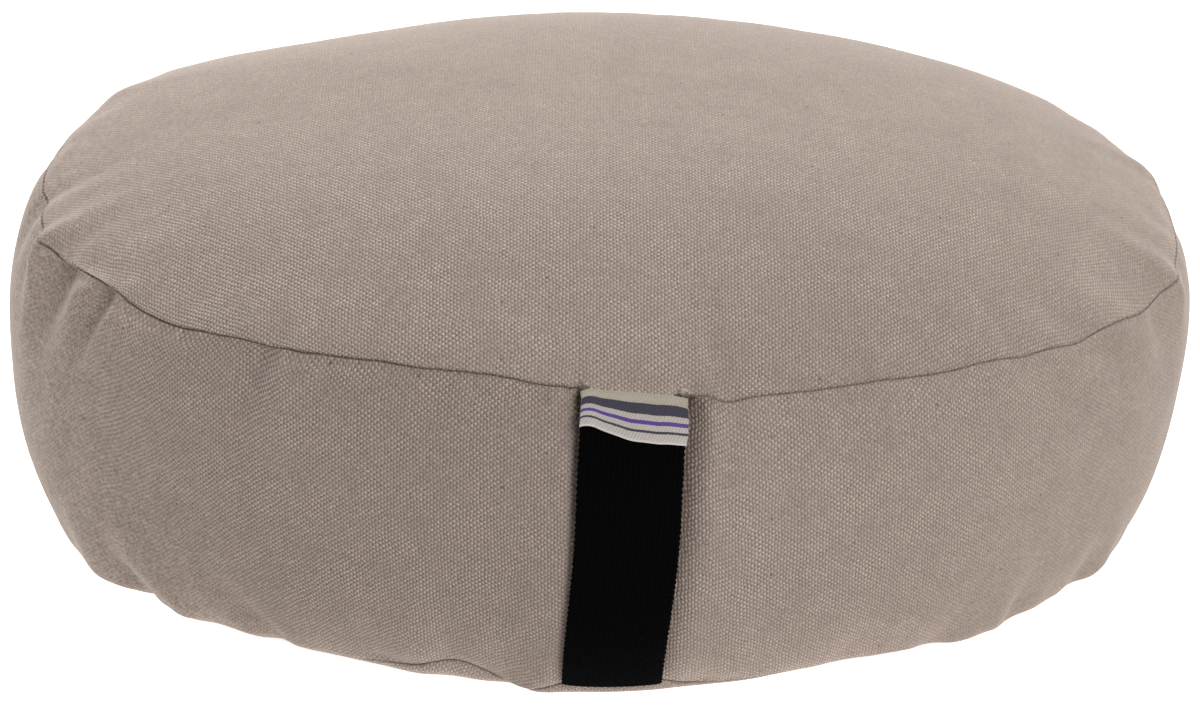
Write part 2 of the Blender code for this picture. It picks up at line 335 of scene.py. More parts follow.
def crease(distance, draw, cleft):
    return draw[0] * hump(distance, draw[1]) + cleft[0] * np.exp(-np.abs(distance) / cleft[1])


def seam_folds(turn, away, folds):
    """Depth of a seam's folds, away from that seam."""
    total = np.zeros(np.broadcast(turn, away).shape)
    for centre, slant, depth, width, length in folds:
        share = away / (length * MM)
        across = arc_gap(turn, centre) + slant * MM * share
        spread = width * MM * (FOLD_SPREAD[0] + FOLD_SPREAD[1] * share)
        fold = depth * MM * hump(across, spread) * hump(share, FOLD_TAPER)
        total = total + np.where(share < FOLD_END, fold, 0.0)
    return total


def moved_out(turn, point, out, up=0.0):
    """A point moved square to the plan's outline, and up."""
    normal_x, normal_y = plan_normal(turn)
    return point + np.stack([normal_x * out, normal_y * out, up + 0.0 * out], axis=-1)


def crown_curve(even, share):
    """Height of the crown over a seam at height even; share runs from its middle (0) to the seam (1)."""
    return even + (CROWN_HEIGHT - even) * (1 - share ** CROWN_POWER)


def crown_at(turn, from_seam):
    """Points of the top panel, from_seam inward from its seam as seen in plan."""
    rim = seam_line(turn, 0)
    share = 1 - from_seam / np.hypot(rim[..., 0], rim[..., 1])
    wave = humps(turn, SEAM_WAVES)
    nick = seam_nick(turn)
    height = crown_curve(rim[..., 2] - wave - nick, share)
    height = height + wave * hump(from_seam, WAVE_FADE) + nick * hump(from_seam, NICK_FADE)
    # The seam itself gives way a little at its folds.
    pull = SEAM_YIELD * seam_folds(turn, np.zeros_like(turn), TOP_FOLDS) * hump(from_seam, DENT_FADE)
    lip = LIP * sewn_in(turn) * hump(from_seam - LIP_PLACE[0], LIP_PLACE[1]) * (from_seam > 0)
    out = humps(turn, SEAM_STRAYS) * hump(from_seam, STRAY_FADE[0]) + lip - pull
    swell = sum(humps(turn, [row[:3]]) * hump(from_seam - row[3] * MM, SWELL_REACH)
                for row in CROWN_SWELLS) * (1 - hump(from_seam, SWELL_START))
    point = rim * share[..., None]
    point[..., 2] = height
    return moved_out(turn, point, out, swell - PULL_SINK * pull - LIP_SINK * lip)


def fold_depth(turn, from_top, from_base):
    grown = SEAM_YIELD + (1 - SEAM_YIELD) * (1 - hump(from_top, FOLD_START))
    tuck = TUCK_DEPTH * stretch(turn, TUCK_TURN, TUCK_WIDTH, 12) * hump(from_top, TUCK_LENGTH)
    return seam_folds(turn, from_top, TOP_FOLDS) * grown + seam_folds(turn, from_base, FOOT_FOLDS) + tuck


def band_height(turn):
    return np.linalg.norm(seam_line(turn, 0) - seam_line(turn, 1), axis=-1)


def band_at(turn, share):
    """Points of the band, share running from the top seam (0) to the bottom one (1)."""
    top = seam_line(turn, 0)
    base = seam_line(turn, 1)
    height = np.linalg.norm(top - base, axis=-1)
    from_top = share * height
    belly = station("belly", turn) * MM * (1 - np.abs(2 * share - 1) ** BELLY_POWER)
    out = belly - fold_depth(turn, from_top, height - from_top)
    out = out + humps(turn, SEAM_STRAYS) * hump(from_top, STRAY_FADE[1])
    return moved_out(turn, top + (base - top) * np.asarray(share)[..., None], out)


ROLL_SWINGS = np.linspace(0, math.pi / 2, 200)
ROLL_ARCS = np.concatenate([[0.0], np.cumsum(np.hypot(
    UNDER_REACH * np.diff(np.cos(ROLL_SWINGS)), UNDER_DROP * np.diff(np.sin(ROLL_SWINGS))))])
ROLL_LENGTH = ROLL_ARCS[-1]


def base_slide(turn):
    """How far the bottom seam lies beyond the band's lower edge, round the roll under it."""
    hidden = 1 - stretch(turn, *SEAM_SHOWN, 6)
    handle = stretch(turn, *HANDLE_END, 6)
    slide = SEAM_HIDDEN * hidden + humps(turn, BASE_NICKS) * (1 - handle) + HANDLE_DROP * handle
    return slide, hidden


def strap_centre(share):
    """Where the handle's middle line runs, share of the way down the band."""
    sway = STRAP_SWAY * np.sin(1.2 * TAU * (share - 0.28)) * np.clip(share / 0.3, 0, 1)
    return STRAP_TOP_CENTRE - STRAP_LEAN * share + sway


def handle_hollow(turn, from_top):
    """How far the band falls away along the handle's edges."""
    height = band_height(turn)
    share = np.clip(from_top / height, 0, 1)
    across = plan_radius(turn) * np.cos(turn) - strap_centre(share)
    total = np.zeros(np.shape(across))
    for side, upper, lower, width in HANDLE_HOLLOWS:
        depth = lower + (upper - lower) * hump(from_top, HOLLOW_FADE)
        beyond = side * across - HOLLOW_EDGE
        slope = np.clip(1 - beyond / width, 0, 1) ** 2
        total = total + depth * np.where(beyond > 0, slope, hump(beyond, HOLLOW_UNDER))
    from_base = np.maximum(height - from_top, 0)
    ends = (1 - hump(from_top, HOLLOW_ENDS[0])) * (1 - hump(from_base, HOLLOW_ENDS[1]))
    return total * ends * (np.sin(turn) < -0.5)


def side_at(turn, from_top):
    """Points down the band and on round the roll under it, from_top measured on the cloth."""
    height = band_height(turn)
    beyond = from_top - height
    point = band_at(turn, np.clip(from_top / height, 0, 1))
    swing = np.interp(beyond, ROLL_ARCS, ROLL_SWINGS)
    hidden = base_slide(turn)[1]
    out = (ROLL_BULGE[0] * hidden * hump(beyond, ROLL_BULGE[1]) - UNDER_REACH * (1 - np.cos(swing))
           + humps(turn, FOOT_SWELLS) * hump(beyond, FOOT_FADE) - handle_hollow(turn, from_top))
    point[..., 2] *= 1 - np.sin(swing)
    return moved_out(turn, point, out)


def band_frame(turn, share):
    """Points of the band with their outward directions."""
    point = band_at(turn, share)
    step = 0.003
    along = band_at(turn + step, share) - band_at(turn - step, share)
    low = np.clip(share - 0.01, 0, 1)
    high = np.clip(share + 0.01, 0, 1)
    down = band_at(turn, high) - band_at(turn, low)
    normal = np.cross(down, along)
    return point, normal / np.linalg.norm(normal, axis=-1, keepdims=True)


# ---- Rows of the filled body from the crown down, with the cloth's own lengths ----
RING_DENSITY = 0.38
RING_CENTRE = math.radians(254.0)
# Past this distance beyond the bottom seam the rows follow the roll.
ROLL_START = 8.0 * MM
# Distance given to points far from a seam.
FAR = 0.5


def row_plan(near_seam, top_rows, band_rows, roll_rows, flat_rows):
    """Rows as (panel, kind, value); near_seam holds distances from the seam to its rows."""
    rows = [("top", "inner", share) for share in 1 - np.linspace(0.955, 0.0, top_rows) ** 1.1]
    rows += [("top", "step", step) for step in near_seam[-2:0:-1]]
    rows += [("band", "step", step) for step in near_seam]
    rows += [("band", "middle", count / (band_rows + 1)) for count in range(1, band_rows + 1)]
    rows += [("band", "lower", step) for step in near_seam[::-1]]
    rows += [("base", "step", step) for step in near_seam[1:] if step < ROLL_START]
    rows += [("base", "roll", share) for share in roll_rows]
    rows += [("base", "flat", share) for share in flat_rows]
    return rows


def ring(count):
    """Turns of one ring of points, which lie closest together round the handle."""
    even = np.arange(count) * TAU / count
    return even - RING_DENSITY * (np.sin(even - RING_CENTRE) - math.sin(-RING_CENTRE))


def surface_row(row, near_end, turn):
    """Points of one row, its distances from the top and bottom seams, and its cloth radius."""
    panel, kind, value = row
    far = np.full(len(turn), FAR)
    step = np.full(len(turn), value)
    if panel == "top":
        reach = plan_radius(turn) * station("top_reach", turn)
        from_seam = {"step": step, "inner": reach - (reach - near_end) * value}[kind]
        return crown_at(turn, from_seam), from_seam, far, far
    slide = base_slide(turn)[0]
    seam = band_height(turn) + slide
    if panel == "band":
        from_top = {"step": step, "lower": seam - value,
                    "middle": near_end + (seam - 2 * near_end) * value}[kind]
        return side_at(turn, from_top), from_top, seam - from_top, far
    rest = ROLL_LENGTH - slide
    flat = side_at(turn, seam + rest)
    reach = np.hypot(flat[:, 0], flat[:, 1])
    if kind == "flat":
        return flat * value, far, far, reach * value
    beyond = {"step": step, "roll": ROLL_START + (rest - ROLL_START) * value}[kind]
    return side_at(turn, seam + beyond), far, beyond, reach + rest - beyond


def body_rows(plan, near_end, counts):
    """All rows, each with its own number of points round the cushion."""
    made = []
    for row, count in zip(plan, counts):
        turn = ring(count)
        points, from_top, from_base, radius = surface_row(row, near_end, turn)
        level = {"top": -from_top.mean(), "band": from_top.mean(),
                 "base": 0.14 + from_base.mean()}[row[0]]
        if row[1] == "flat":
            level = 0.2 + 0.1 * (1 - row[2])
        made.append({"panel": row[0], "turn": turn, "points": points, "level": level,
                     "from_top": from_top, "from_base": from_base, "radius": radius})
    return made


def panel_cloth(points):
    """Where each point of the domed top lies on its flat cloth, true along both threads."""
    side = HALF_LENGTH * 1.06
    cells = 160
    across = np.linspace(-side, side, cells + 1)
    grid_x, grid_y = np.meshgrid(across, across, indexing="ij")
    turn = np.arctan2(grid_y, grid_x)
    rim = plan_radius(turn) * station("top_reach", turn)
    share = np.minimum(np.hypot(grid_x, grid_y) / rim, 1.0)
    height = crown_curve(station("top_height", turn) * MM, share)
    step = across[1] - across[0]
    place = (points[..., :2] + side) / step
    low = np.clip(np.floor(place).astype(int), 0, cells - 1)
    i, j = low[..., 0], low[..., 1]
    a, b = np.moveaxis(place - low, -1, 0)
    cloth = []
    for axis in (0, 1):
        slope = np.clip(np.gradient(height, step, axis=axis), -1, 1)
        run = np.cumsum(np.sqrt(1 + slope ** 2) * step, axis=axis)
        run = run - np.take(run, [cells // 2], axis=axis)
        cloth.append((1 - a) * (1 - b) * run[i, j] + a * (1 - b) * run[i + 1, j]
                     + (1 - a) * b * run[i, j + 1] + a * b * run[i + 1, j + 1])
    return np.stack(cloth, axis=-1)


def belt_run(turn):
    """Length along the belt of the cushion from its right end to each turn."""
    fine = np.linspace(0, TAU, 2881)
    belt = band_at(fine, np.full(len(fine), 0.45))
    run = np.concatenate([[0.0], np.cumsum(np.linalg.norm(np.diff(belt, axis=0), axis=-1))])
    return np.interp(turn, fine, run)


def gathered(rows, key, pole=0.0):
    """A measure of all rows as one list, with a value at each end for the mesh's two poles."""
    return np.concatenate([[pole]] + [row[key] for row in rows] + [[pole]])


def skin_mesh(name, rows):
    """One closed mesh over the rows, with cloth and sewing coordinates on its corners."""
    starts = np.cumsum([1] + [len(row["turn"]) for row in rows])
    points = np.concatenate([[[0, 0, CROWN_HEIGHT]]] + [row["points"] for row in rows] + [[[0, 0, 0]]])
    faces = []
    panels = []
    wrapped = []

    def add(panel, corners):
        faces.append([starts[row] + place % len(rows[row]["turn"]) for row, place in corners])
        panels.append(panel)
        wrapped.append([place == len(rows[row]["turn"]) for row, place in corners])

    def fan(panel, row, pole, direction):
        for place in range(len(rows[row]["turn"])):
            add(panel, [(row, place), (row, place + 1)][::direction])
            faces[-1].insert(0, pole)
            wrapped[-1].insert(0, wrapped[-1][1])

    fan("top", 0, 0, 1)
    for index, (upper, lower) in enumerate(zip(rows, rows[1:])):
        panel = "base" if lower["panel"] == "base" else upper["panel"]
        above, below = len(upper["turn"]), len(lower["turn"])
        per_upper = 2 if above > below else 1
        per_lower = 2 if below > above else 1
        for place in range(min(above, below)):
            corners = [(index, per_upper * place)]
            corners += [(index + 1, per_lower * place + step) for step in range(per_lower + 1)]
            corners += [(index, per_upper * place + step) for step in range(per_upper, 0, -1)]
            add(panel, corners)
    fan("base", len(rows) - 1, len(points) - 1, -1)

    mesh = bpy.data.meshes.new(name)
    mesh.from_pydata(points.tolist(), [], [[int(corner) for corner in face] for face in faces])
    corner_vert = np.concatenate(faces)
    corner_panel = np.repeat(panels, [len(face) for face in faces])
    from_top = gathered(rows, "from_top", FAR)[corner_vert]
    from_base = gathered(rows, "from_base", FAR)[corner_vert]
    radius = gathered(rows, "radius")[corner_vert]
    round_turn = np.where(np.concatenate(wrapped), TAU, gathered(rows, "turn")[corner_vert])
    run = belt_run(round_turn)
    under = np.stack([np.cos(round_turn), np.sin(round_turn)], axis=-1) * radius[:, None] + UNDER_SPOT
    spots = np.where((corner_panel == "top")[:, None], panel_cloth(points[corner_vert]), under)
    belt = np.stack([run + BAND_SPOT, from_top], axis=-1)
    spots = np.where((corner_panel == "band")[:, None], belt, spots)
    gap = np.minimum(from_top, from_base)
    # Over the label the crown's sewing gap is widened, which keeps the painted seam shade and the stitch
    # bites off its lip.
    gap = gap + np.where(corner_panel == "top", 1.5 * MM * sewn_in(round_turn), 0.0)
    for layer_name, values in (("cloth", spots), ("sewing", np.stack([run, gap], axis=-1))):
        mesh.uv_layers.new(name=layer_name).data.foreach_set("uv", values.astype(np.float32).ravel())
    mesh.update()
    return mesh


def vectors(things, attribute):
    values = np.empty(len(things) * 3, dtype=np.float32)
    things.foreach_get(attribute, values)
    return values.reshape(-1, 3).astype(float)


def coordinates(mesh):
    return vectors(mesh.vertices, "co")


def normals(mesh):
    return vectors(mesh.vertex_normals, "vector")


def set_coordinates(mesh, spots):
    mesh.vertices.foreach_set("co", np.asarray(spots, dtype=np.float32).ravel())
    mesh.update()


def new_object(name, data):
    thing = bpy.data.objects.new(name, data)
    bpy.context.scene.collection.objects.link(thing)
    return thing


def smooth_field(field, passes):
    """Even out a field over the rows, round the cushion and up and down it."""
    for _ in range(passes):
        field = (field + 0.5 * (np.roll(field, 1, axis=1) + np.roll(field, -1, axis=1))) / 2
        padded = np.concatenate([field[:1], field, field[-1:]])
        field = (field + 0.5 * (padded[:-2] + padded[2:])) / 2
    return field


# ---- Puckers: the filling presses a coarse skin out against its sewn seams ----
COARSE_TURNS = 216
COARSE_STEPS = np.array([0.0, 3.5, 8.0, 13.0, 18.0]) * MM
SETTLE_FRAMES = 20
SETTLING = {"quality": 5, "mass": 0.25, "tension_stiffness": 18, "compression_stiffness": 18,
            "shear_stiffness": 10, "bending_stiffness": 0.8, "use_pressure": True,
            "uniform_pressure_force": 4, "vertex_group_mass": "held", "shrink_min": -0.03}


def settled_puckers():
    """Where the simulated skin stands proud of the even one: field over rows and turns."""
    plan = row_plan(COARSE_STEPS, 24, 14, (0.3, 0.6, 1.0), (0.75, 0.4))
    rows = body_rows(plan, COARSE_STEPS[-1], [COARSE_TURNS] * len(plan))
    mesh = skin_mesh("settling", rows)
    skin = new_object("settling", mesh)
    start = coordinates(mesh)
    near = np.array([np.minimum(row["from_top"], row["from_base"]) for row in rows])
    hold = (near < 0.4 * MM) | np.array([[row["panel"] == "base"] for row in rows])
    hold[:4] = True
    held = skin.vertex_groups.new(name="held")
    weights = np.concatenate([[True], hold.ravel(), [True]])
    held.add(np.nonzero(weights)[0].tolist(), 1.0, "REPLACE")

    cloth = skin.modifiers.new("settle", "CLOTH")
    settings = cloth.settings
    for name, value in SETTLING.items():
        setattr(settings, name, value)
    settings.effector_weights.gravity = 0
    cloth.collision_settings.use_collision = False
    cloth.point_cache.frame_end = SETTLE_FRAMES
    scene = bpy.context.scene
    for moment in range(1, SETTLE_FRAMES + 1):
        scene.frame_set(moment)
    settled = skin.evaluated_get(bpy.context.evaluated_depsgraph_get())
    moved = coordinates(settled.data) - start
    out = (moved * normals(mesh)).sum(axis=1)[1:-1].reshape(len(rows), COARSE_TURNS)
    bpy.data.objects.remove(skin)
    scene.frame_set(1)
    return rows, out - smooth_field(out, 24)


def finer_field(rows, field, fine_rows, turns):
    """Spread a field over coarse rows onto fine rows, all of one number of turns."""
    round_field = np.array([np.interp(ring(turns), ring(COARSE_TURNS), line, period=TAU) for line in field])
    coarse_level = np.array([row["level"] for row in rows])
    fine_level = np.array([row["level"] for row in fine_rows])
    columns = [np.interp(fine_level, coarse_level, line) for line in round_field.T]
    return smooth_field(np.array(columns).T, 4)


# ---- The finished cushion ----
FINE_TURNS = 720
FINE_STEPS = np.array([0.0, 0.35, 0.8, 1.4, 2.2, 3.2, 4.4, 5.8, 7.4,
                       9.2, 11.3, 13.7, 16.4, 19.5, 23.0]) * MM
FINE_FLATS = (0.96, 0.82, 0.58, 0.32, 0.12)
PUCKER_STRENGTH = 0.7
PUCKER_CAP = 1.2 * MM
# Columns: share of the puckers far from a seam; what comes on top of it at the seam; its fade.
BAND_PUCKERS = (0.45, 0.55, 26.0 * MM)
TOP_PUCKERS = (0.12, 0.34, 20.0 * MM)
# The handle holds the band flat under it: turn and half width.
UNDER_HANDLE = (272.6, 25.0 * MM)
CREASE_REACH = 8.0 * MM
CREASE_TURN = 2.6 * MM


def fine_plan():
    """The rows of the finished mesh and their numbers of points, which halve toward both poles."""
    plan = row_plan(FINE_STEPS, 30, 16, (0.08, 0.2, 0.36, 0.56, 0.78, 1.0), FINE_FLATS)
    counts = []
    for _, kind, value in plan:
        halvings = 0
        if kind == "inner":
            halvings = sum(value < limit for limit in (0.6, 0.36, 0.18, 0.09))
        if kind == "flat":
            halvings = FINE_FLATS.index(value)
        counts.append(FINE_TURNS // 2 ** halvings)
    return plan, counts


def crease_directions(rows, outward):
    """Outward directions, which turn toward the seam's own direction close to each seam."""
    starts = np.cumsum([1] + [len(row["turn"]) for row in rows])
    blended = outward.copy()
    for side in ("from_top", "from_base"):
        seam = next(index for index, row in enumerate(rows) if np.max(np.abs(row[side])) < 1e-9)
        common = outward[starts[seam]:starts[seam + 1]]
        for index, row in enumerate(rows):
            if len(row["turn"]) == len(common) and np.min(row[side]) < CREASE_REACH:
                share = hump(row[side], CREASE_TURN)[:, None]
                span = slice(starts[index], starts[index + 1])
                blended[span] = blended[span] * (1 - share) + common * share
    return blended / np.linalg.norm(blended, axis=1, keepdims=True)


def pucker_share(near, columns):
    far, extra, fade = columns
    return far + extra * hump(near, fade)


def build_cushion():
    plan, counts = fine_plan()
    rows = body_rows(plan, FINE_STEPS[-1], counts)
    mesh = skin_mesh("canvas_cushion", rows)
    cushion = new_object("canvas_cushion", mesh)
    spots = coordinates(mesh)
    outward = normals(mesh)
    top = gathered(rows, "from_top", FAR)
    base = gathered(rows, "from_base", FAR)
    turn = gathered(rows, "turn")
    panels = [np.full(len(row["turn"]), row["panel"]) for row in rows]
    panel = np.concatenate([["top"]] + panels + [["base"]])
    on_band = panel == "band"
    fine = finer_field(*settled_puckers(), rows, FINE_TURNS)
    spread = [line[::FINE_TURNS // len(row["turn"])] for line, row in zip(fine, rows)]
    push = np.concatenate([[0.0]] + spread + [[0.0]])
    near = np.minimum(top, base)
    push = np.clip(push * PUCKER_STRENGTH, -PUCKER_CAP, PUCKER_CAP)
    push = push * np.where(on_band, pucker_share(near, BAND_PUCKERS), pucker_share(near, TOP_PUCKERS))
    push = push * (1 - stretch(turn, *UNDER_HANDLE, 8) * on_band) * (1 - hump(near, 1.5 * MM))
    spots = spots + outward * push[:, None]
    set_coordinates(mesh, spots)
    outward = normals(mesh)
    depth = crease(top, TOP_DRAW, TOP_CLEFT) * (1 - 0.85 * sewn_in(turn) * (panel == "top"))
    depth = depth + crease(base, BASE_DRAW, BASE_CLEFT)
    spots = spots - crease_directions(rows, outward) * depth[:, None]
    spots[:, 2] = np.maximum(spots[:, 2], 0.0)
    set_coordinates(mesh, spots + PLAN_SHIFT)
    mesh.shade_smooth()
    return cushion


# ---- Webbing handle and folded label: thin sheets laid on the band ----
def sheet_object(name, inner, outer, cloth):
    """Close two grids of points into one thin sheet; cloth holds each point's flat place."""
    work = bmesh.new()
    layer = work.loops.layers.uv.new("cloth")
    rows, columns = inner.shape[:2]
    grids = [[[work.verts.new(point) for point in row] for row in grid + PLAN_SHIFT]
             for grid in (inner, outer)]

    def face(*corners):
        made = work.faces.new([grids[side][i][j] for side, i, j in corners])
        for loop, (side, i, j) in zip(made.loops, corners):
            loop[layer].uv = cloth[i, j]

    for i in range(rows - 1):
        for j in range(columns - 1):
            face((1, i, j), (1, i + 1, j), (1, i + 1, j + 1), (1, i, j + 1))
            face((0, i, j), (0, i, j + 1), (0, i + 1, j + 1), (0, i + 1, j))
    rim = [(0, j) for j in range(columns)]
    rim += [(i, columns - 1) for i in range(1, rows)]
    rim += [(rows - 1, j) for j in range(columns - 2, -1, -1)]
    rim += [(i, 0) for i in range(rows - 2, 0, -1)]
    for (i, j), (k, m) in zip(rim, rim[1:] + rim[:1]):
        face((0, i, j), (1, i, j), (1, k, m), (0, k, m))
    bmesh.ops.recalc_face_normals(work, faces=work.faces)
    mesh = bpy.data.meshes.new(name)
    work.to_mesh(mesh)
    work.free()
    mesh.shade_smooth()
    return new_object(name, mesh)


def eased(part):
    """Ease in and out."""
    return part * part * (3 - 2 * part)


def strap_turn(beside, share):
    """Turn of a place beside the handle's middle line, share of the way down the band."""
    across = strap_centre(share) + beside
    part = 1 - (np.abs(across) / HALF_LENGTH) ** PLAN_POWER
    return np.arctan2(-HALF_DEPTH * part ** (1 / PLAN_POWER), across)


def strap_taper(from_start):
    """The webbing is squeezed thin where it enters the seam."""
    return 0.32 + 0.68 * eased(np.clip(from_start / STRAP_TAPER, 0, 1))


def build_strap():
    rows, columns = 176, 26
    share, side = np.meshgrid(np.linspace(0, 1, rows), np.linspace(-1, 1, columns), indexing="ij")
    across = np.sign(side) * (1 - (1 - np.abs(side)) ** 1.35) * STRAP_WIDTH / 2
    # Both selvedges are notched by the turns of the crossing thread.
    notch = np.sin(share * STRAP_RUN / NOTCH_STEP * TAU) * np.abs(side) ** 14
    across = across * STRAP_SPREAD * (1 - 0.025 * share) + np.sign(side) * NOTCH_WIDTH * notch
    turn = strap_turn(across, share)
    height = band_height(turn)
    start = STRAP_END_INSET / height
    end = 1 + (HANDLE_DROP - 0.5 * MM) / height
    point, normal = band_frame(turn, start + (end - start) * share)
    thickness = STRAP_THICKNESS * (1 - np.abs(side) ** 8 * 0.45) * strap_taper(share * height)
    inner = point + normal * GAP
    outer = point + normal * (GAP + thickness + NOTCH_HEIGHT * notch)[..., None]
    cloth = np.stack([across, (1 - share) * STRAP_RUN], axis=-1)
    return sheet_object("webbing_handle", inner, outer, cloth)


def build_label():
    """One woven strip folded in two, both ends caught in the seam."""
    layer_rows = 22
    side = np.linspace(0, 1, 45)
    length = LABEL_LENGTH - LABEL_SHORT_SIDE * (1 - eased(np.clip(side / 0.58, 0, 1)))
    fold = LABEL_LAYER * 0.62
    # Down the front layer, round the fold and up the back one: share down, side, reach beyond.
    path = [(down, 1.0, 0.0) for down in np.linspace(0, 1, layer_rows)]
    path += [(1.0, math.cos(angle), math.sin(angle)) for angle in np.linspace(0, math.pi, 9)[1:-1]]
    path += [(down, -1.0, 0.0) for down in np.linspace(1, 0, layer_rows)]
    down, rise, beyond = np.array(path).T[:, :, None]
    across = (side - 0.5) * LABEL_WIDTH + 0.4 * MM - LABEL_LEAN * side * down
    turn = strap_turn(across, 0.06)
    reach = STRAP_END_INSET + length * down + beyond * fold * 1.1
    point, normal = band_frame(turn, reach / band_height(turn))
    lift = LABEL_CURL * np.clip(1 - side / 0.45, 0, 1) ** 2 * down ** 2
    ripple = 0.25 * MM * np.sin(side * 9.0 + 0.6) * down ** 2
    middle = (2 * GAP + STRAP_THICKNESS * strap_taper(length * down) + LABEL_LAYER * 0.5 + fold
              + lift + ripple)
    near, deep = (point + normal * (middle + rise * (fold + half))[..., None]
                  for half in (LABEL_LAYER / 2, -LABEL_LAYER / 2))
    run = down * LABEL_LENGTH
    back = (np.arange(len(path)) > len(path) // 2)[:, None]
    along = np.broadcast_to(np.where(back, 2 * LABEL_LENGTH - run, run), across.shape)
    cloth = np.stack([across, along], axis=-1)
    return sheet_object("folded_label", deep, near, cloth)


# ---- Short ways to lay out nodes ----
def put(tree, kind, inputs=(), family="ShaderNode", **settings):
    """Add a node; inputs map a socket's name or number to a value or to a reading of another node."""
    node = tree.nodes.new(family + kind)
    for name, value in settings.items():
        setattr(node, name, value)
    for key, value in dict(inputs).items():
        if isinstance(value, Reading):
            tree.links.new(value.socket, node.inputs[key])
        else:
            node.inputs[key].default_value = value
    return node


class Reading:
    """One output of a node; sums, products and comparisons of them are Math nodes."""

    def __init__(self, node, output=0):
        self.socket = node.outputs[output]
        self.tree = node.id_data

    def by(self, operation, *others):
        return Reading(put(self.tree, "Math", enumerate((self, *others)), operation=operation))

    def __rsub__(self, other):
        return self * -1.0 + other

    __add__ = partialmethod(by, "ADD")
    __sub__ = partialmethod(by, "SUBTRACT")
    __mul__ = partialmethod(by, "MULTIPLY")
    __truediv__ = partialmethod(by, "DIVIDE")
    __lt__ = partialmethod(by, "LESS_THAN")
    __gt__ = partialmethod(by, "GREATER_THAN")
    __abs__ = partialmethod(by, "ABSOLUTE")


def vector(operation, first, second=(0, 0, 0), key=1, output=0):
    node = put(first.tree, "VectorMath", {0: first, key: second}, operation=operation)
    return Reading(node, output)


def split(place):
    node = put(place.tree, "SeparateXYZ", {0: place})
    return [Reading(node, axis) for axis in range(3)]


def joined(first, second):
    return Reading(put(first.tree, "CombineXYZ", {0: first, 1: second}))


def noise(place, scale, detail=2.0, roughness=0.5, dimensions="2D", output=0):
    return Reading(put(place.tree, "TexNoise",
                       {"Vector": place, "Scale": scale, "Detail": detail, "Roughness": roughness},
                       noise_dimensions=dimensions), output)


def blend(factor, first, second):
    return Reading(put(factor.tree, "Mix", {0: factor, 6: first, 7: second}, data_type="RGBA"), 2)


def ranged(value, low, high, to_low=0.0, to_high=1.0, smooth=False):
    return Reading(put(value.tree, "MapRange",
                       {"Value": value, "From Min": low, "From Max": high,
                        "To Min": to_low, "To Max": to_high},
                       interpolation_type="SMOOTHSTEP" if smooth else "LINEAR"), "Result")


def soft_mask(value, width):
    """One where value is nought, fading over width."""
    ratio = value / width
    return (ratio * ratio * -1.0).by("EXPONENT")


def new_material(name, thing):
    material = bpy.data.materials.new(name)
    material.use_nodes = True
    material.node_tree.nodes.clear()
    thing.data.materials.append(material)
    return material.node_tree


def uv_place(tree, name):
    return Reading(put(tree, "UVMap", uv_map=name))


def finish_shader(tree, inputs):
    shader = put(tree, "BsdfPrincipled", inputs)
    put(tree, "OutputMaterial", {"Surface": Reading(shader)})


def finish_cloth(tree, colour, surface, inputs):
    """Close a cloth material; surface is the height of its threads in metres."""
    bump = put(tree, "Bump", {"Strength": 1.0, "Distance": 1.0, "Height": surface})
    finish_shader(tree, {"Base Color": colour, "Normal": Reading(bump), **inputs})


# ---- Materials ----
# Shaded and lit copies of the canvas colour, blended by the painted thread shade.
CANVAS_SHADED_DEEP = (0.318, 0.2545, 0.2170, 1)
CANVAS_LIT_PALE = (0.378, 0.305, 0.2635, 1)
CANVAS_SHEEN = (0.97, 0.84, 0.74, 1.0)
SEED_BROWN = (0.060, 0.044, 0.036, 1)
NUB_PALE = (0.62, 0.55, 0.50, 1)
# Colour of the painted shade in the top seam's crease.
SEAM_SHADE_DARK = (0.040, 0.029, 0.023, 1)
# Lengths along the belt: the handle's middle, and where the shade of each band end has faded out.
HANDLE_RUN = 0.963
LEFT_FADE = 0.65
RIGHT_FADE = 1.20
STITCH_LENGTH = 3.3 * MM
# The band's cloth lies within a metre of this place either way.
BAND_MIDDLE = BAND_SPOT + 0.6

WEBBING_BLACKS = ((0.0006, 0.0006, 0.0008, 1), (0.0034, 0.0034, 0.0040, 1))
WEBBING_LINT = (0.012, 0.011, 0.011, 1)
RIB_STEP = 1.9 * MM
PICK_STEP = 1.35 * MM

# Label creams: yellower toward the seam, and painted darker there, where the crown's lip shades it.
LABEL_CREAMS_SHADED_TO_LIT = ((0.42, 0.37, 0.285, 1), (0.515, 0.475, 0.44, 1))
LABEL_GROOVE = (0.26, 0.23, 0.20, 1)
# Colour of the painted highlight along the label's fold.
LABEL_FOLD_HIGHLIGHT = (0.72, 0.70, 0.71, 1)
NAVY = (0.030, 0.028, 0.052, 1)
VIOLET = (0.085, 0.035, 0.25, 1)
# Columns: where a stripe starts and ends, in mm from the seam; thread.
LABEL_STRIPES = ((3.4, 6.6, NAVY), (8.3, 9.5, VIOLET), (11.2, 12.0, NAVY))
WEAVE_READINGS = ("Relief", "Shade", "Pores", "Tone")


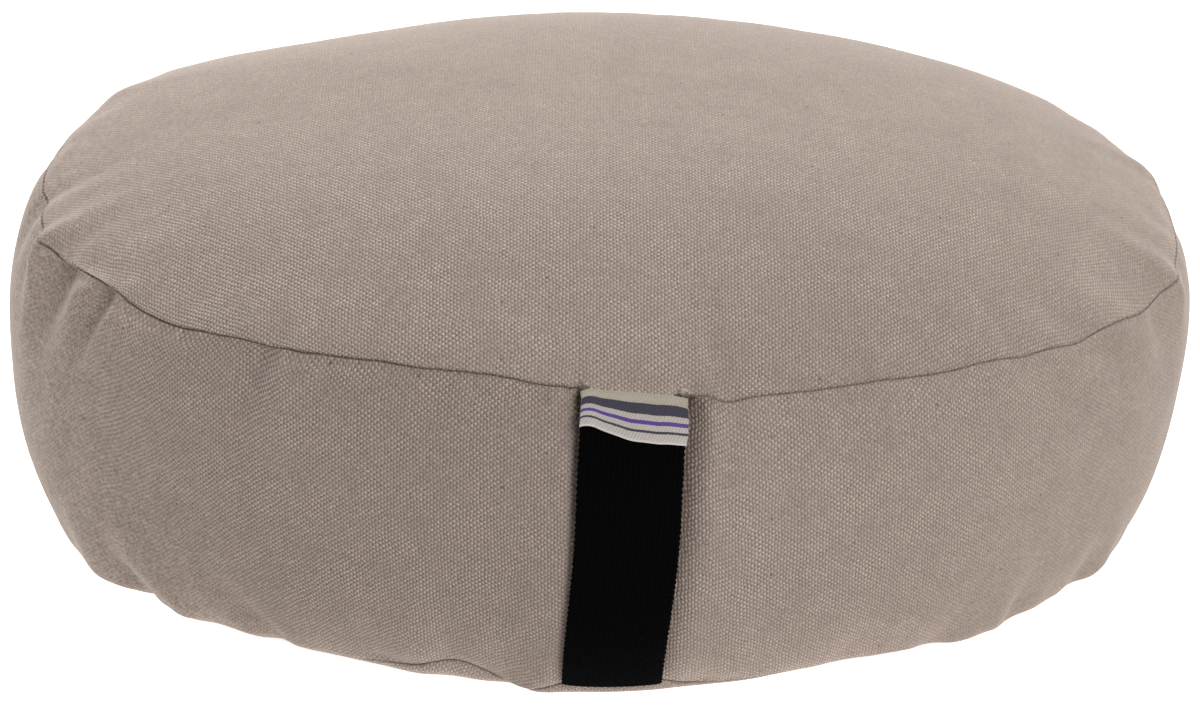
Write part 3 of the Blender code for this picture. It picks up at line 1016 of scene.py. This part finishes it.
def plain_weave_group():
    """Crossing threads, counted by Threads: relief and shade about nought, pores and thread tone."""
    group = bpy.data.node_groups.new("plain_weave", "ShaderNodeTree")
    group.interface.new_socket("Threads", in_out="INPUT", socket_type="NodeSocketVector")
    group.interface.new_socket("Unevenness", in_out="INPUT", socket_type="NodeSocketFloat")
    for name in WEAVE_READINGS:
        group.interface.new_socket(name, in_out="OUTPUT", socket_type="NodeSocketFloat")
    start = put(group, "GroupInput", family="Node")
    threads = Reading(start, "Threads")

    wander = vector("SUBTRACT", noise(threads, 0.10, 4.0, 0.7, output="Color"), (0.5, 0.5, 0.5))
    moved = vector("ADD", threads, vector("SCALE", wander, Reading(start, "Unevenness"), "Scale"))
    along, across, _ = split(moved)
    cos_along = (along * math.pi).by("COSINE")
    cos_across = (across * math.pi).by("COSINE")
    crossing = cos_along * cos_across
    columns = cos_along * cos_along * 2.0 - 1.0
    picks = cos_across * cos_across * 2.0 - 1.0

    # Each crossing has its own size, and each thread is fuller in some stretches than in others.
    weft_number = across.by("ROUND")
    warp_number = along.by("ROUND")
    own = Reading(put(group, "TexWhiteNoise", {"Vector": joined(warp_number, weft_number)},
                      noise_dimensions="2D"))
    weft_full = ranged(noise(joined(along * 0.22, weft_number * 3.7), 1.0), 0.25, 0.75, -1.0, 1.0)
    warp_full = ranged(noise(joined(warp_number * 3.7 + 50.0, across * 0.22), 1.0), 0.25, 0.75, -1.0, 1.0)
    full = (weft_full - warp_full) * (crossing * 0.5 + 0.5) + warp_full
    floats = crossing * (own * 0.36 + 0.42)
    relief = floats + columns * 0.27 + picks * 0.09 + full * 0.16
    pores = (1.0 - abs(cos_along)) * (1.0 - abs(cos_across))
    tone = full * 0.45 + (own * 1.1 - 0.55)
    # Painted shade: the lit flank of each thread lies a quarter thread to one side of its crest.
    flank_along = (along * TAU).by("SINE")
    flank_across = (across * TAU).by("SINE")
    shade = floats + flank_along * 0.26 - flank_across * 0.07 + full * 0.14
    put(group, "GroupOutput", zip(WEAVE_READINGS, (relief, shade, pores, tone)), family="Node")
    return group


def canvas_material(cushion, weave):
    tree = new_material("taupe_canvas", cushion)
    cloth = uv_place(tree, "cloth")
    run, gap, _ = split(uv_place(tree, "sewing"))
    on_band = abs(split(cloth)[0] - BAND_MIDDLE) < 1.0
    threads = vector("MULTIPLY", cloth, (1 / WEFT_STEP, 1 / WARP_STEP, 0))
    woven = put(tree, "Group", {"Threads": threads, "Unevenness": 1.6}, node_tree=weave)
    relief, shade, pores, tone = (Reading(woven, name) for name in WEAVE_READINGS)
    patches = noise(cloth, 60.0, 3.0, 0.6)
    grain = noise(cloth, 1300.0, 2.0, 0.6)
    place = Reading(put(tree, "TexCoord"), "Object")
    across, back, up = split(place)

    # The threads' relief and painted shade stand out most on the front left, where the light rakes across
    # the cloth, and less toward the back, right and foot.
    weave_relief_and_shade = ranged(back, -0.125, 0.03, 1.48, 0.36, smooth=True).by("MAXIMUM", on_band * 1.05)
    weave_relief_and_shade = weave_relief_and_shade * ranged(across, -0.20, 0.20, 1.16, 0.66)
    weave_relief_and_shade = weave_relief_and_shade * ranged(up, 0.012, 0.062, 0.72, 1.0, smooth=True)
    # Toward both ends the cloth has felted over, so slubs show in place of single threads.
    outward = (0.09 - up).by("MAXIMUM", 0.0) * 0.6 + abs(across)
    felted = ranged(outward, 0.125, 0.215, smooth=True) * (on_band * 0.5 + 0.5)
    weave_relief_and_shade = weave_relief_and_shade * (1.0 - felted * 0.76)
    slubs = noise(vector("MULTIPLY", place, (1.0, 0.35, 1.0)), 700.0, 2.5, 0.65, "3D") - 0.5

    # The painted light and shade of the threads, with their own tone and grain, scale the colour.
    light = shade * (ranged(patches, 0.3, 0.7, 0.24, 0.44) * weave_relief_and_shade) + 1.0
    light = light + tone * 0.10 + (grain - 0.5) * 0.54
    light = light + slubs * (felted * ranged(across, -0.1, 0.1, 1.5, 0.40) + 0.06)
    # Painted shade in the pores between the threads.
    pore_shade = ranged(pores, 0.28, 0.9) * ranged(patches, 0.38, 0.66, 0.08, 0.75) * (1.0 - felted * 0.7)
    broad = ranged(noise(cloth, 11.0), 0.3, 0.7, -0.02, 0.02)
    even = ranged(patches, 0.25, 0.75, 0.925, 1.075) + broad - felted * 0.035
    light = light * (1.0 - pore_shade) * even
    # The band's colour is darker left of the handle and a little lighter right of it.
    left_end = ranged(run, LEFT_FADE, HANDLE_RUN - 0.10, smooth=True) * (run < HANDLE_RUN)
    right_end = ranged(run, RIGHT_FADE, HANDLE_RUN + 0.06, smooth=True) * (run > HANDLE_RUN)
    light = light * ((right_end * 0.035 - left_end * 0.085) * on_band + 1.0)

    # The colour runs from the shaded copy to the lit one with the painted thread shade.
    colour = blend(ranged(shade, -0.7, 0.7), CANVAS_SHADED_DEEP, CANVAS_LIT_PALE)
    # Dark seed flecks and a few pale nubs spun into the thread.
    fleck = put(tree, "TexVoronoi", {"Vector": cloth, "Scale": 62.0}, voronoi_dimensions="2D")
    pick = Reading(put(tree, "SeparateColor", {0: Reading(fleck, "Color")}))
    near = ranged(Reading(fleck, "Distance"), 0.020, 0.045, 1.0, 0.0)
    colour = blend(near * (pick > 0.88) * 0.55, colour, SEED_BROWN)
    colour = blend(near * (pick < 0.03) * 0.45, colour, NUB_PALE)
    # Painted shade in the top seam's crease, darker left of the handle than right of it, where the light
    # reaches into the crease.
    seam_shade_width = noise(cloth, 420.0, 1.0) * (0.44 * MM) + 0.15 * MM
    crease_shade_strength = ranged(run, HANDLE_RUN, HANDLE_RUN + 0.05, 0.52, 0.28, smooth=True)
    crease_shade_strength = crease_shade_strength * ranged(noise(cloth, 95.0), 0.3, 0.7, 0.70, 1.25)
    seam_shade = crease_shade_strength * (soft_mask(gap, 1.2 * MM) * 0.08 + soft_mask(gap, seam_shade_width))
    colour = vector("SCALE", blend(seam_shade, colour, SEAM_SHADE_DARK), light, "Scale")

    bites = (run * (TAU / STITCH_LENGTH)).by("SINE") * soft_mask(gap, 2.0 * MM)
    surface = relief * (weave_relief_and_shade * (0.19 * MM)) + bites * (0.14 * MM)
    surface = surface + grain * (0.20 * MM) - pores * (0.08 * MM)
    finish_cloth(tree, colour, surface, {
        "Roughness": 0.92, "Specular IOR Level": 0.12,
        "Sheen Weight": 0.75, "Sheen Roughness": 0.25, "Sheen Tint": CANVAS_SHEEN})


def webbing_material(strap):
    tree = new_material("black_webbing", strap)
    cloth = uv_place(tree, "cloth")
    across, along, _ = split(cloth)
    wobble = noise(cloth, 260.0)
    across = wobble * (0.35 * MM) + across
    along = wobble * (0.45 * MM) + along
    rib = (across * (TAU / RIB_STEP)).by("COSINE")
    swing = (across * (TAU / (2 * RIB_STEP))).by("SINE").by("SIGN") * (math.pi / 2)
    pick = (along * (TAU / PICK_STEP) + swing).by("COSINE")
    height = rib * 0.45 + pick * 0.55
    fuzz = noise(cloth, 2600.0, 2.0, 0.6)
    lint = noise(cloth, 700.0, 3.0, 0.7)
    colour = blend(ranged(height, -1.0, 1.0) * ranged(fuzz, 0.3, 0.75), *WEBBING_BLACKS)
    colour = blend(ranged(lint, 0.68, 0.8, 0.0, 0.2), colour, WEBBING_LINT)
    finish_cloth(tree, colour, height * (0.16 * MM) + fuzz * (0.10 * MM), {
        "Roughness": 0.8, "Specular IOR Level": 0.02})


def label_material(label):
    tree = new_material("woven_label", label)
    cloth = uv_place(tree, "cloth")
    across, down, _ = split(cloth)
    ragged = noise(cloth, 1900.0, 1.0) * (0.22 * MM) + down
    fine = ((down * 0.58 + across) * (TAU / (1.1 * MM))).by("SINE")
    cross = ((across - down) * (TAU / (0.9 * MM))).by("SINE")
    satin = noise(cloth, 900.0, 2.0, 0.6)
    # The label is yellower toward the seam, and painted darker there, where the crown's lip shades it.
    colour = blend(ranged(down, 0.0, 9.0 * MM), *LABEL_CREAMS_SHADED_TO_LIT)
    colour = blend(ranged(fine + satin, -0.8, 1.6, 0.0, 0.42), colour, LABEL_GROOVE)
    for low, high, thread in LABEL_STRIPES:
        stripe = (ragged > low * MM) * (ragged < high * MM)
        colour = blend(stripe * 0.94, colour, thread)
    # A painted highlight along the label's fold.
    fold = soft_mask(down - LABEL_LENGTH, 0.55 * MM)
    colour = blend(fold * 0.6, colour, LABEL_FOLD_HIGHLIGHT)
    surface = fine * (0.06 * MM) + cross * (0.02 * MM) + satin * (0.08 * MM)
    finish_cloth(tree, colour, surface, {"Roughness": 0.62, "Specular IOR Level": 0.14})


# ---- Studio ----
CAMERA_TILT = 0.528
CAMERA_DISTANCE = 1.340
CAMERA_AIM = (0.8 * MM, 0.0, 60.0 * MM)
SENSOR_WIDTH = 36
FOCAL_PIXELS = 3345.7
PHOTO_WIDTH = 1200


def build_camera():
    camera = new_object("camera", bpy.data.cameras.new("camera"))
    ahead = Vector((0, math.cos(CAMERA_TILT), -math.sin(CAMERA_TILT)))
    camera.location = Vector(CAMERA_AIM) + Vector(PLAN_SHIFT) - ahead * CAMERA_DISTANCE
    camera.rotation_euler = (math.pi / 2 - CAMERA_TILT, 0, 0)
    camera.data.sensor_width = SENSOR_WIDTH
    camera.data.lens = FOCAL_PIXELS / PHOTO_WIDTH * SENSOR_WIDTH
    bpy.context.scene.camera = camera


# Columns: name; direction it comes from; strength. All are broad and soft.
LAMPS = (
    ("overhead", (0.0, 0.2, 1.0), 0.17),
    ("overhead_left", (-0.5, 0.0, 0.86), 0.72),
    ("right", (0.8, -0.1, 0.6), 0.16),
    ("front_right", (0.5, -0.6, 0.62), 1.58),
)
LAMP_SPREAD = 0.6
LAMP_TINT = (1.0, 0.996, 0.978)
# Columns: direction of a bright side of the room; strength. The walls are a little cool.
WALLS = (
    ((0.0, 0.94, 0.34), 3.18),
    ((-1.0, 0.1, 0.2), 0.12),
)
WALL_TINT = (0.978, 1.0, 1.030, 1)
BACKDROP = 0.95
WHITE = (1, 1, 1, 1)
FLOOR_PALE = (0.90, 0.90, 0.90, 1)
FLOOR_SIZE = 14
FLOOR_DROP = 0.2 * MM
FLOOR_GLOW = 0.30
FOOT_GLOW = 0.98


def studio_light():
    for name, source, strength in LAMPS:
        lamp = bpy.data.lights.new(name, "SUN")
        lamp.energy = strength
        lamp.angle = LAMP_SPREAD
        lamp.color = LAMP_TINT
        new_object(name, lamp).rotation_euler = Vector(source).to_track_quat("Z", "Y").to_euler()
    world = bpy.data.worlds.new("studio")
    bpy.context.scene.world = world
    world.use_nodes = True
    tree = world.node_tree
    toward = Reading(put(tree, "TexCoord"), "Generated")
    bright = 0.0
    for source, strength in WALLS:
        facing = vector("DOT_PRODUCT", toward, source, output="Value")
        bright = facing.by("MAXIMUM", 0.0).by("POWER", 2.0) * strength + bright
    seen = Reading(put(tree, "LightPath"), "Is Camera Ray")
    sky = tree.nodes["Background"]
    tree.links.new(((BACKDROP - bright) * seen + bright).socket, sky.inputs["Strength"])
    tree.links.new(blend(seen, WALL_TINT, WHITE).socket, sky.inputs["Color"])


def floor_material(floor):
    """The table is lit from below, more strongly round the cushion's foot, and less toward its ends."""
    tree = new_material("pale_floor", floor)
    place = Reading(put(tree, "TexCoord"), "Object")
    scaled = vector("MULTIPLY", place, (1 / HALF_LENGTH, 1 / HALF_DEPTH, 0))
    reach = vector("LENGTH", scaled, output="Value")
    sideways = split(place)[0]
    foot = soft_mask(reach - 1.02, 0.11)
    foot = foot * ranged(sideways, 0.03, 0.20, FOOT_GLOW, 0.5 * FOOT_GLOW, smooth=True)
    foot = foot * ranged(sideways, -0.20, -0.05, 0.88, 1.0, smooth=True)
    finish_shader(tree, {
        "Base Color": FLOOR_PALE, "Roughness": 0.9, "Specular IOR Level": 0.1,
        "Emission Color": WHITE, "Emission Strength": foot + FLOOR_GLOW})


def build_studio():
    bpy.ops.object.select_all(action="DESELECT")
    bpy.ops.mesh.primitive_plane_add(size=FLOOR_SIZE, location=(0, 0, -FLOOR_DROP))
    floor = bpy.context.object
    floor.name = "floor"
    floor_material(floor)
    studio_light()
    shown = bpy.context.scene.view_settings
    shown.view_transform = "Standard"
    shown.look = "None"


build_camera()
cushion = build_cushion()
strap = build_strap()
label = build_label()

weave = plain_weave_group()
canvas_material(cushion, weave)
webbing_material(strap)
label_material(label)

for piece, node, finish in ((cushion, "cushion", "canvas"), (strap, "handle_strap", "webbing"),
                            (label, "label", "label")):
    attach(piece, "root")
    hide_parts(node)
build_studio()
